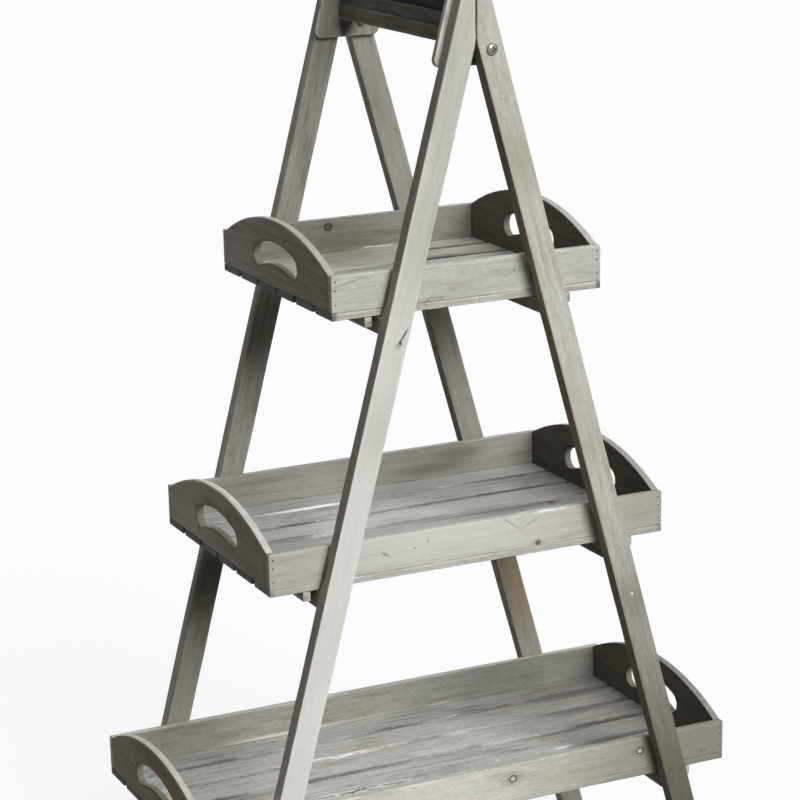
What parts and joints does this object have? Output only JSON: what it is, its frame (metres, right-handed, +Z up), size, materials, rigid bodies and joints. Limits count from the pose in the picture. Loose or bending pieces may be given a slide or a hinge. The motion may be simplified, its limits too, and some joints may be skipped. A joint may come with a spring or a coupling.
{
  "type": "tiered plant stand",
  "caption": "Folding A-frame plant stand with lift-out slatted trays of growing length, arched tray ends with hand holes and a bare chalkboard along the ridge.",
  "frame": {"origin": "on the floor, under the middle of the stand", "axes": "+X to the right along the trays, +Y from front to back, +Z up"},
  "size_m": [0.696, 0.3754, 1.2],
  "materials": {
    "leg_wood": "grey-washed softwood, worn",
    "batten_wood": "grey-washed softwood",
    "gusset_wood": "grey-washed softwood",
    "sign_frame_wood": "dark grey-washed softwood",
    "chalkboard": "matt black chalkboard paint",
    "bolt_steel": "zinc plated",
    "screw_steel": "plated, washed over",
    "dowel_wood": "raw beech",
    "tray_side_wood": "grey-washed softwood, worn edges",
    "tray_end_wood": "grey-washed softwood, worn edges",
    "slat_wood": "grey-washed softwood, streaked",
    "cleat_wood": "grey-washed softwood",
    "nail_steel": "dull, weathered"
  },
  "bodies": {
    "fixed_frame": {"front_left_leg": "leg_wood", "rear_left_leg": "leg_wood", "left_top_batten": "batten_wood", "left_middle_batten": "batten_wood", "left_bottom_batten": "batten_wood", "front_gusset": "gusset_wood", "rear_gusset": "gusset_wood", "ridge_bar": "sign_frame_wood", "sign_bottom_rail": "sign_frame_wood", "sign_board": "chalkboard", "sign_top_rail": "sign_frame_wood", "pivot_bolts": "bolt_steel", "pivot_washers": "bolt_steel", "pivot_nuts": "bolt_steel", "gusset_screws": "screw_steel", "ridge_screws": "screw_steel", "left_dowels": "dowel_wood"},
    "folding_frame": {"front_right_leg": "leg_wood", "rear_right_leg": "leg_wood", "right_top_batten": "batten_wood", "right_middle_batten": "batten_wood", "right_bottom_batten": "batten_wood", "right_dowels": "dowel_wood"},
    "top_tray": {"top_tray_front_rail": "tray_side_wood", "top_tray_back_rail": "tray_side_wood", "top_tray_left_end": "tray_end_wood", "top_tray_right_end": "tray_end_wood", "top_tray_slat_1": "slat_wood", "top_tray_slat_2": "slat_wood", "top_tray_slat_3": "slat_wood", "top_tray_slat_4": "slat_wood", "top_tray_slat_5": "slat_wood", "top_tray_slat_6": "slat_wood", "top_tray_cleats": "cleat_wood", "top_tray_nails": "nail_steel"},
    "middle_tray": {"middle_tray_front_rail": "tray_side_wood", "middle_tray_back_rail": "tray_side_wood", "middle_tray_left_end": "tray_end_wood", "middle_tray_right_end": "tray_end_wood", "middle_tray_slat_1": "slat_wood", "middle_tray_slat_2": "slat_wood", "middle_tray_slat_3": "slat_wood", "middle_tray_slat_4": "slat_wood", "middle_tray_slat_5": "slat_wood", "middle_tray_slat_6": "slat_wood", "middle_tray_cleats": "cleat_wood", "middle_tray_nails": "nail_steel"},
    "bottom_tray": {"bottom_tray_front_rail": "tray_side_wood", "bottom_tray_back_rail": "tray_side_wood", "bottom_tray_left_end": "tray_end_wood", "bottom_tray_right_end": "tray_end_wood", "bottom_tray_slat_1": "slat_wood", "bottom_tray_slat_2": "slat_wood", "bottom_tray_slat_3": "slat_wood", "bottom_tray_slat_4": "slat_wood", "bottom_tray_slat_5": "slat_wood", "bottom_tray_slat_6": "slat_wood", "bottom_tray_cleats": "cleat_wood", "bottom_tray_nails": "nail_steel"}
  },
  "joints": [
    {"name": "fold", "type": "hinge", "parent": "fixed_frame", "child": "folding_frame", "pos_m": [0.01837, 0, 1.096], "axis": [0, 1, 0], "range_deg": [0, 24]},
    {"name": "top_tray_lift", "type": "slide", "parent": "fixed_frame", "child": "top_tray", "axis": [0, 0, 1], "range_m": [0, 0.12]},
    {"name": "middle_tray_lift", "type": "slide", "parent": "fixed_frame", "child": "middle_tray", "axis": [0, 0, 1], "range_m": [0, 0.12]},
    {"name": "bottom_tray_lift", "type": "slide", "parent": "fixed_frame", "child": "bottom_tray", "axis": [0, 0, 1], "range_m": [0, 0.12]}
  ]
}
